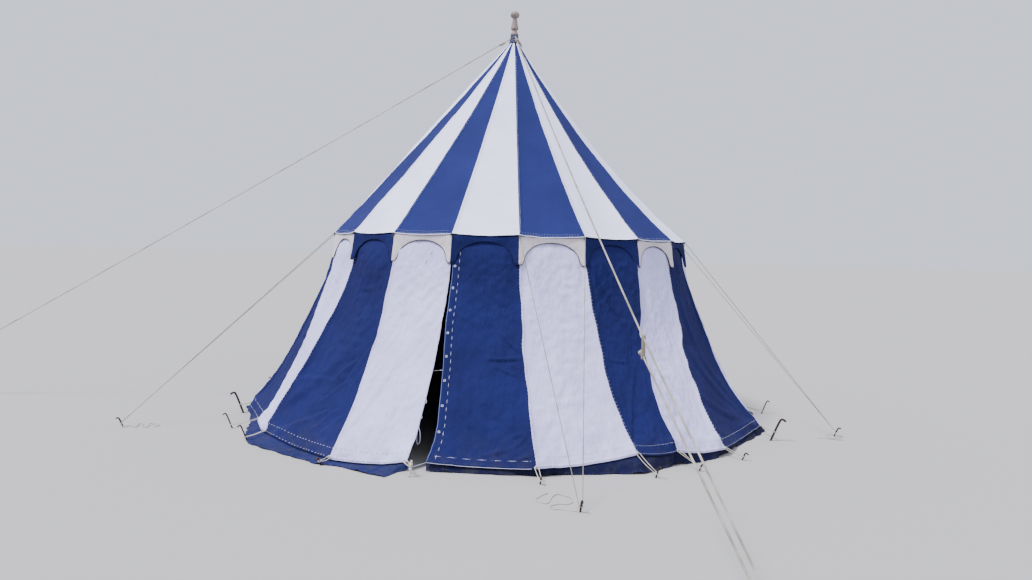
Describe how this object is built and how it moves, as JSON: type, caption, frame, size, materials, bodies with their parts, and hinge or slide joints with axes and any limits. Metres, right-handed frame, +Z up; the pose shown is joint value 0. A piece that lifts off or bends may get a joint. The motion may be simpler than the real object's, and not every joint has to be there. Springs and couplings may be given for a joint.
{
  "type": "round pavilion tent",
  "caption": "Round striped canvas pavilion tent on a centre pole, with flared laced walls, an arched valance, a turned finial, storm ropes, eave guys and pegs.",
  "frame": {"origin": "middle of the pole's foot, on the ground", "axes": "+Z up along the pole; -Y out of the door gap; +X to the right of someone who faces the door from outside"},
  "size_m": [9.6182, 10.8505, 4.1508],
  "materials": {
    "blue_canvas": "matte woven cotton",
    "white_canvas": "matte woven cotton",
    "cream_canvas": "matte woven cotton, bound edge",
    "turned_wood": "turned, oiled",
    "weathered_wood": "weathered",
    "rope": "laid natural fibre",
    "iron": "forged, lightly rusted"
  },
  "bodies": {
    "root": {"centre_pole": "turned_wood", "crown_collar": "blue_canvas", "door_flap": "blue_canvas", "guy_peg_back": "iron", "guy_peg_front": "iron", "guy_peg_left": "iron", "guy_peg_right": "iron", "guy_rope_back": "rope", "guy_rope_front": "rope", "guy_rope_left": "rope", "guy_rope_right": "rope", "hem_rope_back_left": "rope", "hem_rope_back_right": "rope", "hem_rope_front_left": "rope", "hem_rope_front_right": "rope", "mud_flap_left": "blue_canvas", "mud_flap_right": "blue_canvas", "pole_finial": "turned_wood", "roof_blue_gores": "blue_canvas", "roof_white_gores": "white_canvas", "rope_tail_front": "rope", "rope_tail_left": "rope", "rope_tail_right": "rope", "storm_peg_back": "iron", "storm_peg_front": "iron", "storm_peg_left": "iron", "storm_rope_back": "rope", "storm_rope_front": "rope", "storm_rope_left": "rope", "storm_runner_back": "weathered_wood", "storm_runner_front": "weathered_wood", "storm_runner_left": "weathered_wood", "valance": "cream_canvas", "wall_01_white": "white_canvas", "wall_02_blue": "blue_canvas", "wall_03_white": "white_canvas", "wall_04_blue": "blue_canvas", "wall_05_white": "white_canvas", "wall_06_blue": "blue_canvas", "wall_07_white": "white_canvas", "wall_08_blue": "blue_canvas", "wall_09_white": "white_canvas", "wall_10_blue": "blue_canvas", "wall_11_white": "white_canvas", "wall_12_blue": "blue_canvas", "wall_13_white": "white_canvas", "wall_14_blue": "blue_canvas", "wall_15_white": "white_canvas", "wall_16_blue": "blue_canvas", "wall_17_white": "white_canvas", "wall_18_blue": "blue_canvas", "wall_19_white": "white_canvas"}
  },
  "joints": []
}
